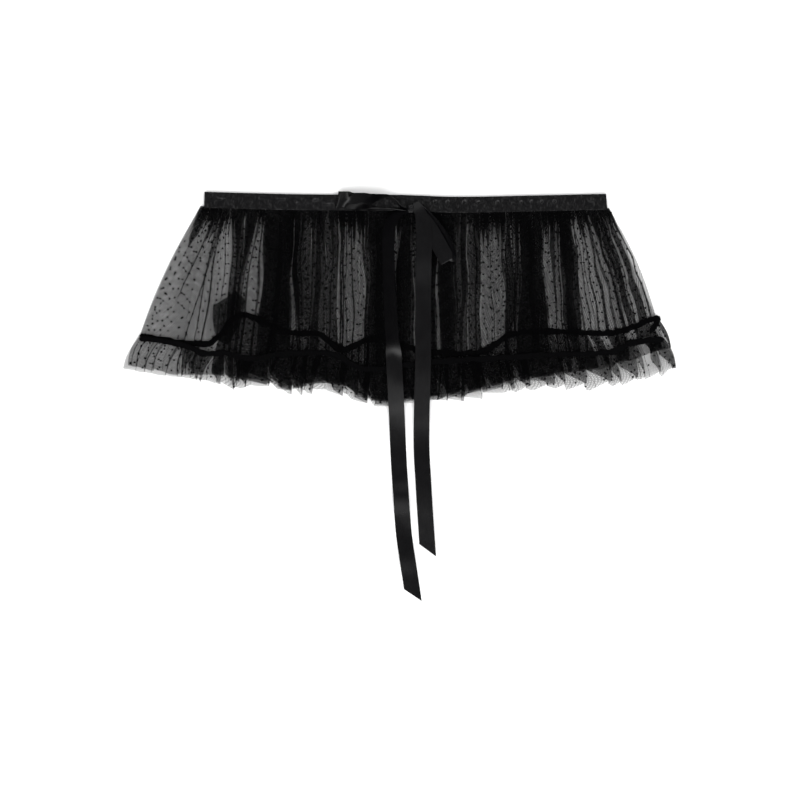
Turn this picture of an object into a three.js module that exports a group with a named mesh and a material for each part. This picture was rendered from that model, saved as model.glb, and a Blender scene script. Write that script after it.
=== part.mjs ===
// A short tutu skirt laid flat on a table, front panel on back panel, waist towards +Y.
// It is gathered dotted tulle on a satin ribbon waistband, with a narrow velvet band over the seam of a tulle
// ruffle at the hem, and a satin bow whose two long tails lie past the hem. Millimetres, +Z up.
// The origin is under the middle of the whole piece, at table height.
import * as THREE from "three";

// Cloth and seams
const WALL = 1;
const SEAM_GAP = 0.3;
const RIBBON_WIDTH = 15;
const BAND_WIDTH = 5;
const WAISTBAND_BACK_THICKNESS = 1.6;
const WAISTBAND_FRONT_THICKNESS = 1.3;

// The waistband, lying flat, and where the tulle leaves it
const WAIST_LEFT = -185;
const WAIST_RIGHT = 196;
const WAIST_END_SLANT = 2;
const GATHER_LEFT = -189;
const GATHER_RIGHT = 199;
const SIDE_BULGE = 4.5;
const RUFFLE_BULGE = 3;

// Heights of the layers over the table
const SIDE_BASE = WALL + SEAM_GAP;
const WAIST_BASE = WAISTBAND_BACK_THICKNESS + SEAM_GAP;
const FRONT_BASE = 3.3;
const FRONT_TOP = 6.5;
const BOW_BASE = FRONT_TOP + SEAM_GAP;
const SIDE_RAMP = 14;
const WAIST_RAMP = 0.25;
const OVER_BAND = { from: 0.5, full: 0.78, until: 1.1, gone: 1.6 };
const BACK_SIDE_FLAT = 6;
const BACK_SIDE_RAMP = 26;

// How far down the panel each row of points lies, and the share of its full lift that a gather has there
const PANEL_ROWS = [
  { down: 0, main: 0.2, small: 0.2 },
  { down: 0.1, main: 0.6, small: 0.6 },
  { down: 0.3, main: 1, small: 1 },
  { down: 0.55, main: 1, small: 0.6 },
  { down: 0.78, main: 0.85, small: 0.4 },
  { down: 0.97, main: 0.28, small: 0.15 },
  { down: 1, main: 0.25, small: 0.15 },
];
const RUFFLE_ROWS = [
  { down: 0, lift: 0.2 },
  { down: 0.1, lift: 0.25 },
  { down: 0.5, lift: 0.7 },
  { down: 1, lift: 1 },
];
const SHOULDER = 0.28;
const LIFT_UNDER_BAND = 0.65;

// Top edge of the waistband
const WAIST_TOP = [
  { x: -185, y: 194.3 },
  { x: -94, y: 192 },
  { x: 0, y: 191.4 },
  { x: 53, y: 189.6 },
  { x: 133, y: 191 },
  { x: 196, y: 192.4 },
];

// The seam under each velvet band, left to right
const FRONT_SEAM = [
  { x: -247, y: 55.2 },
  { x: -222, y: 52.2 },
  { x: -202, y: 48.2 },
  { x: -184, y: 40.4 },
  { x: -166, y: 41.8 },
  { x: -148, y: 37 },
  { x: -132, y: 36.8 },
  { x: -116, y: 39.5 },
  { x: -95, y: 41.4 },
  { x: -68, y: 41 },
  { x: -54, y: 36.6 },
  { x: -44, y: 29.8 },
  { x: -34, y: 26.4 },
  { x: -12, y: 26.8 },
  { x: 5, y: 30 },
  { x: 48, y: 33.7 },
  { x: 138, y: 39.4 },
  { x: 200, y: 42.3 },
  { x: 220, y: 50.8 },
  { x: 251, y: 54.6 },
];
const BACK_SEAM = [
  { x: -247, y: 57.6 },
  { x: -202, y: 50.6 },
  { x: -186, y: 49.8 },
  { x: -178, y: 51.6 },
  { x: -170, y: 59 },
  { x: -161, y: 70.5 },
  { x: -151, y: 77.5 },
  { x: -138, y: 75 },
  { x: -125, y: 69.4 },
  { x: -107, y: 61.8 },
  { x: -93, y: 60.3 },
  { x: -75, y: 58.8 },
  { x: -67, y: 52.5 },
  { x: -60, y: 46 },
  { x: -54, y: 44.3 },
  { x: -46, y: 46.5 },
  { x: -33, y: 52.7 },
  { x: -16, y: 55 },
  { x: 10, y: 46 },
  { x: 56, y: 40.4 },
  { x: 83, y: 44.2 },
  { x: 105, y: 58.6 },
  { x: 152, y: 61.5 },
  { x: 202, y: 60.3 },
  { x: 226, y: 67.9 },
  { x: 244, y: 75.5 },
];

// The ruffle's free edge
const FRONT_HEM = [
  { x: -262.5, y: 26.5 },
  { x: -231, y: 21.4 },
  { x: -186, y: 15.7 },
  { x: -151, y: 8 },
  { x: -83, y: 5.2 },
  { x: -26, y: -5.5 },
  { x: 20, y: -3.3 },
  { x: 88, y: 3.3 },
  { x: 134, y: 9.5 },
  { x: 190, y: 10 },
  { x: 228, y: 16.6 },
  { x: 262.5, y: 27.1 },
];
const BACK_HEM_LEFT = -258;
const BACK_HEM_RIGHT = 258;
const BACK_RUFFLE_DEPTH = [
  { x: -258, y: 27 },
  { x: -200, y: 30 },
  { x: -150, y: 34 },
  { x: 180, y: 34 },
  { x: 225, y: 31 },
  { x: 258, y: 27 },
];

// The largest folds, left to right: where each leaves the waistband, where it meets the seam, how high it
// stands, and how many small gathers lie between it and the fold before it
const FRONT_FOLDS = [
  { waist: -178, hem: -222, lift: 1.2, between: 0 },
  { waist: -168, hem: -204, lift: 1.8, between: 1 },
  { waist: -152, hem: -172, lift: 2.2, between: 3 },
  { waist: -127, hem: -137, lift: 2.2, between: 3 },
  { waist: -108, hem: -108, lift: 1.8, between: 2 },
  { waist: -75, hem: -77, lift: 2.2, between: 3 },
  { waist: -28, hem: -25, lift: 2.2, between: 4 },
  { waist: 10, hem: 12, lift: 1.9, between: 3 },
  { waist: 46, hem: 50, lift: 2.2, between: 3 },
  { waist: 80, hem: 88, lift: 1.6, between: 2 },
  { waist: 118, hem: 128, lift: 2.2, between: 3 },
  { waist: 148, hem: 166, lift: 1.9, between: 2 },
  { waist: 172, hem: 202, lift: 2.2, between: 2 },
  { waist: 187, hem: 228, lift: 1.6, between: 1 },
];
const BACK_FOLDS = [
  { waist: -172, hem: -214, lift: 1.2, between: 1 },
  { waist: -158, hem: -176, lift: 2, between: 1 },
  { waist: -122, hem: -130, lift: 1.8, between: 3 },
  { waist: -88, hem: -92, lift: 2, between: 2 },
  { waist: -58, hem: -60, lift: 1.6, between: 2 },
  { waist: -18, hem: -16, lift: 2, between: 2 },
  { waist: 28, hem: 30, lift: 2, between: 3 },
  { waist: 62, hem: 68, lift: 1.8, between: 2 },
  { waist: 106, hem: 112, lift: 2, between: 3 },
  { waist: 138, hem: 150, lift: 1.6, between: 2 },
  { waist: 166, hem: 186, lift: 2, between: 2 },
  { waist: 184, hem: 216, lift: 1.4, between: 1 },
];
const SMALL_LIFT = 1.5;

// Ruffles: how many waves, their lift at the free edge, and how far their ridges reach past their valleys
const FRONT_RUFFLE = { waves: 46, lift: 2.2, scallop: 2.2, phase: 0.4 };
const BACK_RUFFLE = { waves: 38, lift: 2, scallop: 1.8, phase: 1.7 };

// Bow: the knot's middle, half sizes and thickness, the share of that at its edge, and its corners' roundness.
// A loop's middle line runs from x, y to toX, toY. It opens to its gap and widens from the knot to its end, which
// is slanted: its lower edge reaches farther by the slant.
const KNOT = { x: 8, y: 180.5, halfWidth: 5.5, halfHeight: 5.5, thickness: 5.5, edge: 0.45, corner: 0.35 };
const LEFT_LOOP = { x: 2.2, y: 181, toX: -57.8, toY: 187.9, base: 3.5, gap: 2.2, rootWidth: 7, slant: 4.6 };
const RIGHT_LOOP = { x: 17.6, y: 177.2, toX: 45.6, toY: 127.3, base: BOW_BASE, gap: 1.6, rootWidth: 7, slant: 0 };

// Tails: the middle line of each ribbon, the height of its underside, and how wide it looks from above
const LEFT_TAIL = [
  { x: 1, y: 172.6, z: 4.8, width: 8 },
  { x: -7, y: 166, z: 6.8, width: 10 },
  { x: -10.5, y: 150, z: 6.8, width: 11 },
  { x: -9, y: 92, z: 6.8, width: 12.5 },
  { x: -6, y: 44, z: 6.8, width: 14 },
  { x: -3.5, y: -9, z: 6.6, width: 15 },
  { x: -2.4, y: -36, z: 0.6, width: 15 },
  { x: -1.6, y: -56, z: 0, width: 15 },
  { x: 1.6, y: -98, z: 0, width: 15 },
  { x: 5, y: -140, z: 0, width: 15 },
  { x: 9.5, y: -172, z: 0, width: 15 },
  { x: 12.7, y: -189.7, z: 0, width: 14 },
];
const RIGHT_TAIL = [
  { x: 17.5, y: 182.4, z: 9.4, width: 7 },
  { x: 21.9, y: 172.4, z: 9.9, width: 12 },
  { x: 23.3, y: 160, z: 10.4, width: 13.2 },
  { x: 23.3, y: 143, z: 10.8, width: 13.8 },
  { x: 22.6, y: 118, z: 7.4, width: 14.7 },
  { x: 22.6, y: 92, z: 6.8, width: 15 },
  { x: 22.5, y: 44, z: 6.8, width: 15 },
  { x: 21.4, y: -8, z: 6.6, width: 15 },
  { x: 21, y: -35, z: 0.6, width: 15 },
  { x: 20.8, y: -56, z: 0, width: 15 },
  { x: 23.4, y: -96, z: 0, width: 14.5 },
  { x: 25.4, y: -126, z: 0, width: 13.5 },
  { x: 26.8, y: -147, z: 0, width: 12 },
];
const LEFT_TAIL_CUT = 13.5;
const RIGHT_TAIL_CUT = 12.5;
const TAIL_STEP = 15;
const TIP_STEP = 17;
const LOOP_STATIONS = [0, 0.2, 0.4, 0.6, 0.8];
const LOOP_TURN_STEPS = 6;
const WAISTBAND_COLUMNS = 22;
const FRONT_BAND_COLUMNS = 48;
const BACK_BAND_COLUMNS = 60;
const KNOT_STEPS = 7;

// Colours
const tulleMaterial = new THREE.MeshStandardMaterial({ color: 0x17171a, roughness: 0.9, metalness: 0 });
const satinMaterial = new THREE.MeshStandardMaterial({ color: 0x1c1b1f, roughness: 0.4, metalness: 0 });
const velvetMaterial = new THREE.MeshStandardMaterial({ color: 0x070708, roughness: 1, metalness: 0 });

const { lerp, smoothstep, clamp } = THREE.MathUtils;

// A smooth curve y(x) through a table's rows: a cubic between each two, with the slope of its neighbours.
function through(rows) {
  const slope = (i) => {
    const a = rows[Math.max(i - 1, 0)];
    const b = rows[Math.min(i + 1, rows.length - 1)];
    return (b.y - a.y) / (b.x - a.x);
  };
  return (x) => {
    const at = clamp(rows.findIndex((row) => row.x > x) - 1, 0, rows.length - 2);
    const i = x >= rows[rows.length - 1].x ? rows.length - 2 : at;
    const span = rows[i + 1].x - rows[i].x;
    const t = clamp((x - rows[i].x) / span, 0, 1);
    const rise = rows[i + 1].y - rows[i].y;
    const ease = t * t * (3 - 2 * t);
    const bendA = t * (1 - t) * (1 - t) * (slope(i) * span);
    const bendB = t * t * (t - 1) * (slope(i + 1) * span);
    return rows[i].y + rise * ease + bendA + bendB;
  };
}

const waistTop = through(WAIST_TOP);
const frontSeam = through(FRONT_SEAM);
const backSeam = through(BACK_SEAM);
const frontHem = through(FRONT_HEM);
const backRuffleDepth = through(BACK_RUFFLE_DEPTH);

// A closed wall between an upper and a lower grid of points: high(i, j) and low(i, j) give [x, y, z] for
// column i, counted towards +X or along a ribbon, and row j, counted towards -Y or across it.
function wall(columns, rows, low, high) {
  const points = [];
  const faces = [];
  for (const grid of [high, low])
    for (let i = 0; i < columns; i++)
      for (let j = 0; j < rows; j++) points.push(...grid(i, j));
  const upper = (i, j) => i * rows + j;
  const lower = (i, j) => columns * rows + i * rows + j;
  const quad = (a, b, c, d) => faces.push(a, b, c, a, c, d);
  for (let i = 0; i + 1 < columns; i++)
    for (let j = 0; j + 1 < rows; j++) {
      quad(upper(i, j), upper(i, j + 1), upper(i + 1, j + 1), upper(i + 1, j));
      quad(lower(i, j), lower(i + 1, j), lower(i + 1, j + 1), lower(i, j + 1));
    }
  for (let i = 0; i + 1 < columns; i++) {
    quad(upper(i, 0), upper(i + 1, 0), lower(i + 1, 0), lower(i, 0));
    quad(upper(i + 1, rows - 1), upper(i, rows - 1), lower(i, rows - 1), lower(i + 1, rows - 1));
  }
  for (let j = 0; j + 1 < rows; j++) {
    quad(upper(0, j + 1), upper(0, j), lower(0, j), lower(0, j + 1));
    quad(upper(columns - 1, j), upper(columns - 1, j + 1), lower(columns - 1, j + 1), lower(columns - 1, j));
  }
  const geometry = new THREE.BufferGeometry();
  geometry.setAttribute("position", new THREE.Float32BufferAttribute(points, 3));
  geometry.setIndex(faces);
  return geometry;
}

const skirt = new THREE.Group();

function addPiece(name, geometry, material) {
  const mesh = new THREE.Mesh(geometry, material);
  mesh.name = name;
  skirt.add(mesh);
}

// Columns of a gathered panel: each gather is a left and a right shoulder and the valley after it. A column
// knows where it leaves the waistband, where it meets the seam, and its lift in full.
function panelColumns(folds, seamLeft, seamRight) {
  const ridges = [];
  let before = { waist: GATHER_LEFT, hem: seamLeft };
  for (const fold of folds) {
    for (let k = 1; k <= fold.between; k++) {
      const share = k / (fold.between + 1);
      const waist = lerp(before.waist, fold.waist, share);
      const uneven = 0.7 + 0.3 * Math.sin(2.7 * waist);
      ridges.push({ waist, hem: lerp(before.hem, fold.hem, share), small: SMALL_LIFT * uneven, main: 0 });
    }
    ridges.push({ waist: fold.waist, hem: fold.hem, small: 0, main: fold.lift });
    before = fold;
  }
  const left = { waist: GATHER_LEFT, hem: seamLeft, small: 0, main: 0 };
  const right = { waist: GATHER_RIGHT, hem: seamRight, small: 0, main: 0 };
  const columns = [left];
  ridges.forEach((ridge, i) => {
    const previous = ridges[i - 1] ?? left;
    const next = ridges[i + 1] ?? right;
    const toward = (other) => ({
      ...ridge,
      waist: lerp(ridge.waist, other.waist, SHOULDER / 2),
      hem: lerp(ridge.hem, other.hem, SHOULDER / 2),
    });
    columns.push(toward(previous), toward(next));
    if (next === right) return;
    const valley = { waist: lerp(ridge.waist, next.waist, 0.5), hem: lerp(ridge.hem, next.hem, 0.5) };
    columns.push({ ...valley, small: 0, main: 0 });
  });
  columns.push(right);
  return columns;
}

// Where a column's point lies on the table: on a line from the waistband to the seam, bulged at the sides.
function panelPlace(column, down, seam) {
  const middle = (GATHER_LEFT + GATHER_RIGHT) / 2;
  const sideways = (column.waist - middle) / ((GATHER_RIGHT - GATHER_LEFT) / 2);
  const bulge = SIDE_BULGE * Math.sin(Math.PI * down) * sideways;
  const top = waistTop(column.waist) - RIBBON_WIDTH - SEAM_GAP;
  return { x: lerp(column.waist, column.hem, down) + bulge, y: lerp(top, seam(column.hem), down) };
}

// How far a point at x lies inside the skirt's side edges, at a share of the way down.
function insideSides(x, down, seamLeft, seamRight) {
  const bulge = SIDE_BULGE * Math.sin(Math.PI * down);
  const left = lerp(GATHER_LEFT, seamLeft, down) - bulge;
  const right = lerp(GATHER_RIGHT, seamRight, down) + bulge;
  return Math.min(x - left, right - x);
}

// The front layer comes down to the back layer at the sides and under the waistband, but passes over the back
// band. Down runs from 0 to 1 on the panel and from 1 to 2 on the ruffle.
function frontBase(inside, down) {
  const climb = smoothstep(down, OVER_BAND.from, OVER_BAND.full);
  const overBand = climb * (1 - smoothstep(down, OVER_BAND.until, OVER_BAND.gone));
  const side = lerp(SIDE_BASE, FRONT_BASE, overBand);
  const level = lerp(side, FRONT_BASE, smoothstep(inside, 0, SIDE_RAMP));
  return lerp(Math.min(WAIST_BASE, level + SEAM_GAP), level, smoothstep(down, 0, WAIST_RAMP));
}

function gatheredPanel(name, folds, seamRows, seam, isFront) {
  const seamLeft = seamRows[0].x;
  const seamRight = seamRows[seamRows.length - 1].x;
  const columns = panelColumns(folds, seamLeft, seamRight);
  const point = (i, j, isHigh) => {
    const row = PANEL_ROWS[j];
    const { x, y } = panelPlace(columns[i], row.down, seam);
    const lift = columns[i].main * row.main + columns[i].small * row.small;
    const inside = insideSides(x, row.down, seamLeft, seamRight);
    if (isFront) return [x, y, frontBase(inside, row.down) + lift + (isHigh ? WALL : 0)];
    const fade = smoothstep(inside, BACK_SIDE_FLAT, BACK_SIDE_RAMP);
    return [x, y, isHigh ? WALL + lift * fade : 0];
  };
  const low = (i, j) => point(i, j, false);
  const high = (i, j) => point(i, j, true);
  addPiece(name, wall(columns.length, PANEL_ROWS.length, low, high), tulleMaterial);
}

// Uneven waves along a ruffle. Each has a left shoulder, a right shoulder and a valley, as shares of its length.
function ruffleColumns({ waves, phase }) {
  const uneven = (i) => 1 + 0.3 * Math.sin(2.4 * i + phase) + 0.15 * Math.sin(5.3 * i);
  const widths = Array.from({ length: waves }, (_, i) => uneven(i));
  const whole = widths.reduce((sum, width) => sum + width, 0);
  const columns = [{ along: 0, ridge: 0, wave: 0 }];
  let start = 0;
  widths.forEach((width, i) => {
    const ridge = 0.8 + 0.2 * Math.sin(3.1 * i + phase);
    columns.push({ along: (start + (0.5 - SHOULDER / 2) * width) / whole, ridge, wave: i });
    columns.push({ along: (start + (0.5 + SHOULDER / 2) * width) / whole, ridge, wave: i });
    start += width;
    columns.push({ along: start / whole, ridge: 0, wave: i });
  });
  return columns;
}

function ruffle(name, shape, seamRows, seam, edge, isFront) {
  const seamLeft = seamRows[0].x;
  const seamRight = seamRows[seamRows.length - 1].x;
  const columns = ruffleColumns(shape);
  const last = columns.length - 1;
  const point = (i, j, isHigh) => {
    const row = RUFFLE_ROWS[j];
    const { along, ridge, wave } = columns[i];
    const topX = lerp(seamLeft, seamRight, along);
    const hemX = lerp(edge.left, edge.right, along);
    const uneven = 1 + 0.5 * Math.sin(1.9 * wave + shape.phase);
    const hemY = edge.hem(hemX) - shape.scallop * (i === 0 || i === last ? 0 : ridge * uneven - 0.5);
    const bulge = RUFFLE_BULGE * Math.sin(Math.PI * row.down);
    const x = lerp(topX, hemX, row.down) + bulge * (2 * along - 1);
    const y = lerp(seam(topX) - SEAM_GAP, hemY, row.down);
    const left = lerp(seamLeft, edge.left, row.down) - bulge;
    const right = lerp(seamRight, edge.right, row.down) + bulge;
    const inside = Math.min(x - left, right - x);
    const lift = shape.lift * row.lift * ridge;
    if (isFront) return [x, y, frontBase(inside, 1 + row.down) + lift + (isHigh ? WALL : 0)];
    return [x, y, isHigh ? WALL + lift * smoothstep(inside, BACK_SIDE_FLAT, BACK_SIDE_RAMP) : 0];
  };
  const low = (i, j) => point(i, j, false);
  const high = (i, j) => point(i, j, true);
  addPiece(name, wall(columns.length, RUFFLE_ROWS.length, low, high), tulleMaterial);
}

// The velvet band lies over the seam, on the panel's and the ruffle's highest points there.
function velvetBand(name, seamRows, seam, columns, isFront) {
  const seamLeft = seamRows[0].x;
  const seamRight = seamRows[seamRows.length - 1].x;
  const point = (i, j, isHigh) => {
    const x = lerp(seamLeft, seamRight, i / (columns - 1));
    const inside = Math.min(x - seamLeft, seamRight - x);
    const under = isFront ? frontBase(inside, 1) : 0;
    const lift = LIFT_UNDER_BAND * (isFront ? 1 : smoothstep(inside, 0, BACK_SIDE_FLAT));
    const z = under + WALL + lift + SEAM_GAP;
    return [x, seam(x) + BAND_WIDTH * (0.5 - j), z + (isHigh ? WALL : 0)];
  };
  const low = (i, j) => point(i, j, false);
  const high = (i, j) => point(i, j, true);
  addPiece(name, wall(columns, 2, low, high), velvetMaterial);
}

function waistband(name, base, thickness) {
  const point = (i, j, z) => {
    const across = i / (WAISTBAND_COLUMNS - 1);
    const x = lerp(WAIST_LEFT, WAIST_RIGHT, across) + (j === 1 ? WAIST_END_SLANT * (across - 0.3) : 0);
    return [x, waistTop(x) - RIBBON_WIDTH * j, z];
  };
  const low = (i, j) => point(i, j, base);
  const high = (i, j) => point(i, j, base + thickness);
  addPiece(name, wall(WAISTBAND_COLUMNS, 2, low, high), satinMaterial);
}

// A loop of ribbon pressed flat: out from the knot on top, round its end, and back underneath.
function bowLoop(name, { x, y, toX, toY, base, gap, rootWidth, slant }) {
  const length = Math.hypot(toX - x, toY - y);
  const axis = { x: (toX - x) / length, y: (toY - y) / length };
  const stations = [];
  const fold = (gap + WALL) / 2;
  const openAt = (share) => lerp(SEAM_GAP, gap, smoothstep(share, 0.25, 0.75));
  for (const share of LOOP_STATIONS)
    stations.push({ out: share * (length - fold), z: base + 1.5 * WALL + openAt(share), up: 1, side: 0 });
  for (let k = 0; k <= LOOP_TURN_STEPS; k++) {
    const turn = Math.PI / 2 - (Math.PI * k) / LOOP_TURN_STEPS;
    stations.push({
      out: length - fold - WALL / 2 + fold * Math.cos(turn),
      z: base + WALL / 2 + fold + fold * Math.sin(turn),
      up: Math.sin(turn),
      side: Math.cos(turn),
    });
  }
  for (const share of LOOP_STATIONS.toReversed())
    stations.push({ out: share * (length - fold), z: base + WALL / 2, up: -1, side: 0 });
  const corner = (i, j, outward) => {
    const { out, z, up, side } = stations[i];
    const width = lerp(rootWidth, RIBBON_WIDTH, smoothstep(out / length, 0, 0.45));
    const across = width * (0.5 - j);
    const shell = (outward * WALL) / 2;
    const along = out + shell * side + slant * (0.5 - j) * smoothstep(out / length, 0.3, 1);
    return [x + axis.x * along - axis.y * across, y + axis.y * along + axis.x * across, z + shell * up];
  };
  const low = (i, j) => corner(i, j, -1);
  const high = (i, j) => corner(i, j, 1);
  addPiece(name, wall(stations.length, 2, low, high), satinMaterial);
}

// The knot is a small pillow: its top falls off towards its edges.
function bowKnot(name, base) {
  const corner = (i, j, isHigh) => {
    const u = (2 * i) / (KNOT_STEPS - 1) - 1;
    const v = (2 * j) / (KNOT_STEPS - 1) - 1;
    const round = Math.sqrt(1 - KNOT.corner * u * u * v * v);
    const crown = (1 - Math.abs(u) ** 3) * (1 - Math.abs(v) ** 3);
    const z = base + (isHigh ? lerp(KNOT.edge, 1, crown) * KNOT.thickness : 0);
    return [KNOT.x + KNOT.halfWidth * u * round, KNOT.y - KNOT.halfHeight * v * round, z];
  };
  const low = (i, j) => corner(i, j, false);
  const high = (i, j) => corner(i, j, true);
  addPiece(name, wall(KNOT_STEPS, KNOT_STEPS, low, high), satinMaterial);
}

// A tail of ribbon along its middle line, cut on a slant so that its right-hand corner is the tip.
function bowTail(name, rows, cut) {
  const middle = new THREE.CatmullRomCurve3(rows.map(({ x, y, z }) => new THREE.Vector3(x, y, z)));
  const wide = new THREE.CatmullRomCurve3(rows.map(({ width }) => new THREE.Vector3(width, 0, 0)));
  const length = middle.getLength();
  const steps = Math.round((length - TIP_STEP) / TAIL_STEP);
  const stops = Array.from({ length: steps + 1 }, (_, i) => (i * (length - TIP_STEP)) / steps / length);
  stops.push(1);
  const corner = (i, j, isHigh) => {
    const t = middle.getUtoTmapping(stops[i]);
    const centre = middle.getPoint(t);
    const ahead = middle.getTangent(t).setZ(0).normalize();
    const width = wide.getPoint(t).x;
    const across = width * (0.5 - j);
    const slant = i === stops.length - 1 ? cut * (0.5 - j) : 0;
    const x = centre.x - ahead.y * across + ahead.x * slant;
    const y = centre.y + ahead.x * across + ahead.y * slant;
    return [x, y, Math.max(centre.z, 0) + (isHigh ? WALL : 0)];
  };
  const low = (i, j) => corner(i, j, false);
  const high = (i, j) => corner(i, j, true);
  addPiece(name, wall(stops.length, 2, low, high), satinMaterial);
}

// The back ruffle's hem follows its seam at the ruffle's depth, which is smaller towards both sides.
function backHem(x) {
  const along = (x - BACK_HEM_LEFT) / (BACK_HEM_RIGHT - BACK_HEM_LEFT);
  return backSeam(lerp(BACK_SEAM[0].x, BACK_SEAM.at(-1).x, along)) - backRuffleDepth(x);
}

waistband("waistband_back", 0, WAISTBAND_BACK_THICKNESS);
waistband("waistband_front", WAIST_BASE, WAISTBAND_FRONT_THICKNESS);
gatheredPanel("skirt_back", BACK_FOLDS, BACK_SEAM, backSeam, false);
gatheredPanel("skirt_front", FRONT_FOLDS, FRONT_SEAM, frontSeam, true);
const backEdge = { left: BACK_HEM_LEFT, right: BACK_HEM_RIGHT, hem: backHem };
const frontEdge = { left: FRONT_HEM[0].x, right: FRONT_HEM.at(-1).x, hem: frontHem };
ruffle("ruffle_back", BACK_RUFFLE, BACK_SEAM, backSeam, backEdge, false);
ruffle("ruffle_front", FRONT_RUFFLE, FRONT_SEAM, frontSeam, frontEdge, true);
velvetBand("band_back", BACK_SEAM, backSeam, BACK_BAND_COLUMNS, false);
velvetBand("band_front", FRONT_SEAM, frontSeam, FRONT_BAND_COLUMNS, true);
bowKnot("bow_knot", LEFT_LOOP.base);
bowLoop("bow_loop_left", LEFT_LOOP);
bowLoop("bow_loop_right", RIGHT_LOOP);
bowTail("bow_tail_left", LEFT_TAIL, LEFT_TAIL_CUT);
bowTail("bow_tail_right", RIGHT_TAIL, RIGHT_TAIL_CUT);

export default skirt;
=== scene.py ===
# %% [markdown]
# # A sheer tutu skirt, laid flat
# The real skirt is made of very thin things: dotted net gathered on a satin ribbon, a net ruffle under a
# narrow velvet band, and a ribbon bow with long tails. It lies on a white table and is seen from straight
# above. The eye sees mostly how many layers of net lie over each other, so the cloth is built as single
# sheets that really fold over themselves, and each layer takes its share of the light.

import bpy
import numpy as np
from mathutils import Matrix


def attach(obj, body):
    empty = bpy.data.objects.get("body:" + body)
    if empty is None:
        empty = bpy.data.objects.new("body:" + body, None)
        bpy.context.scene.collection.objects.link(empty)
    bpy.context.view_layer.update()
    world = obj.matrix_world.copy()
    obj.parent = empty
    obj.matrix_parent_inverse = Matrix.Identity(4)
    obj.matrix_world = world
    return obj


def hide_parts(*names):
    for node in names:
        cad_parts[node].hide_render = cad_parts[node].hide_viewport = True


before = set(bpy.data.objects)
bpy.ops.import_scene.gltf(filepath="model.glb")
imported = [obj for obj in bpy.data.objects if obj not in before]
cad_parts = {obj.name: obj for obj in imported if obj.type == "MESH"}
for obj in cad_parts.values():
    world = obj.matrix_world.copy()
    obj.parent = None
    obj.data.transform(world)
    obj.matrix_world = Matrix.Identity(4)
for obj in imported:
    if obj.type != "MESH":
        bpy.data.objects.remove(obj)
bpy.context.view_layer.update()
print("solids:", ", ".join(sorted(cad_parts)))

# %% [markdown]
# ## Small tools
# A seam is drawn through a few given points, so it needs a smooth curve through them. A ribbon's
# route has a roll and a width as well as a place, so each column of its table gets its own curve.

# %% Smooth steps and curves through given points
MM = 0.001


def smooth(value, low, high):
    """0 below low, 1 above high, and 3t^2 - 2t^3 between, where t is the share of the way."""
    t = np.clip((value - low) / (high - low), 0, 1)
    return t * t * (3 - 2 * t)


def mix(a, b, share):
    """a at share 0, b at share 1, and a straight line between."""
    return a + (b - a) * share


def curve(xs, ys):
    """A function y(x): a cubic between each two points, sloped as the line between their neighbours."""
    xs, ys = np.array(xs, float), np.array(ys, float)
    before, after = np.maximum(np.arange(len(xs)) - 1, 0), np.minimum(np.arange(len(xs)) + 1, len(xs) - 1)
    slope = (ys[after] - ys[before]) / (xs[after] - xs[before])

    def y(x):
        i = np.clip(np.searchsorted(xs, x, side="right") - 1, 0, len(xs) - 2)
        span = xs[i + 1] - xs[i]
        t = np.clip((x - xs[i]) / span, 0, 1)
        eased = ys[i] + (ys[i + 1] - ys[i]) * t * t * (3 - 2 * t)
        return eased + slope[i] * span * t * (1 - t) ** 2 - slope[i + 1] * span * t * t * (1 - t)

    return y


def run_of(path):
    """Length along a path at each of its points."""
    return np.append(0, np.cumsum(np.linalg.norm(np.diff(path, axis=0), axis=1)))


def unit(vectors):
    """Each row divided by its own length."""
    return vectors / np.linalg.norm(vectors, axis=1, keepdims=True)


def spread_rows(rows, count):
    """count rows at even steps along a given route whose columns start with x, y and z."""
    rows = np.array(rows, float)
    run = run_of(rows[:, :3])
    at = np.linspace(0, run[-1], count)
    return np.stack([curve(run, column)(at) for column in rows.T], axis=1)


# %% [markdown]
# ## From arrays to pieces
# One function numbers a grid's cells, and another makes a mesh of its points, faces and places on the
# cloth. The cloth map is in metres, so a weave has its real size on every piece. The second map fits the
# same layout into one square.

# %% Grids, maps and pieces
def grid_faces(columns, rows):
    """Corner numbers of each cell. Column i runs to the right and row j down, so the faces look up."""
    i, j = np.meshgrid(np.arange(columns - 1), np.arange(rows - 1), indexing="ij")
    a = (i * rows + j).ravel()
    return np.stack([a, a + 1, a + rows + 1, a + rows], axis=1)


def add_piece(name, points, faces, cloth, material, smooth_shading=True, drawn=None):
    """A piece from points in millimetres. cloth holds each point's place on the flat cloth, in millimetres.
    The last, optional map holds painted shade: how much the net is thickened there, from 0 to 1."""
    mesh = bpy.data.meshes.new(name)
    mesh.from_pydata(points.reshape(-1, 3) * MM, [], faces)
    corner = np.empty(len(mesh.loops), np.int32)
    mesh.loops.foreach_get("vertex_index", corner)
    place = cloth.reshape(-1, 2)[corner] * MM
    mesh.uv_layers.new(name="cloth").uv.foreach_set("vector", place.astype(np.float32).ravel())
    low, high = place.min(axis=0), place.max(axis=0)
    unit = 0.002 + 0.996 * (place - low) / (high - low)
    mesh.uv_layers.new(name="OFBake").uv.foreach_set("vector", unit.astype(np.float32).ravel())
    # a map of painted shade, which thickens the net in its light gaps
    if drawn is not None:
        share = np.repeat(drawn.reshape(-1)[corner], 2)
        mesh.uv_layers.new(name="drawn").uv.foreach_set("vector", share.astype(np.float32))
    mesh.polygons.foreach_set("use_smooth", np.full(len(mesh.polygons), smooth_shading))
    mesh.materials.append(material)
    mesh.update()
    piece = bpy.data.objects.new(name, mesh)
    bpy.context.collection.objects.link(piece)
    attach(piece, "root")
    print(name, len(mesh.polygons), "faces")
    return piece
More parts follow.
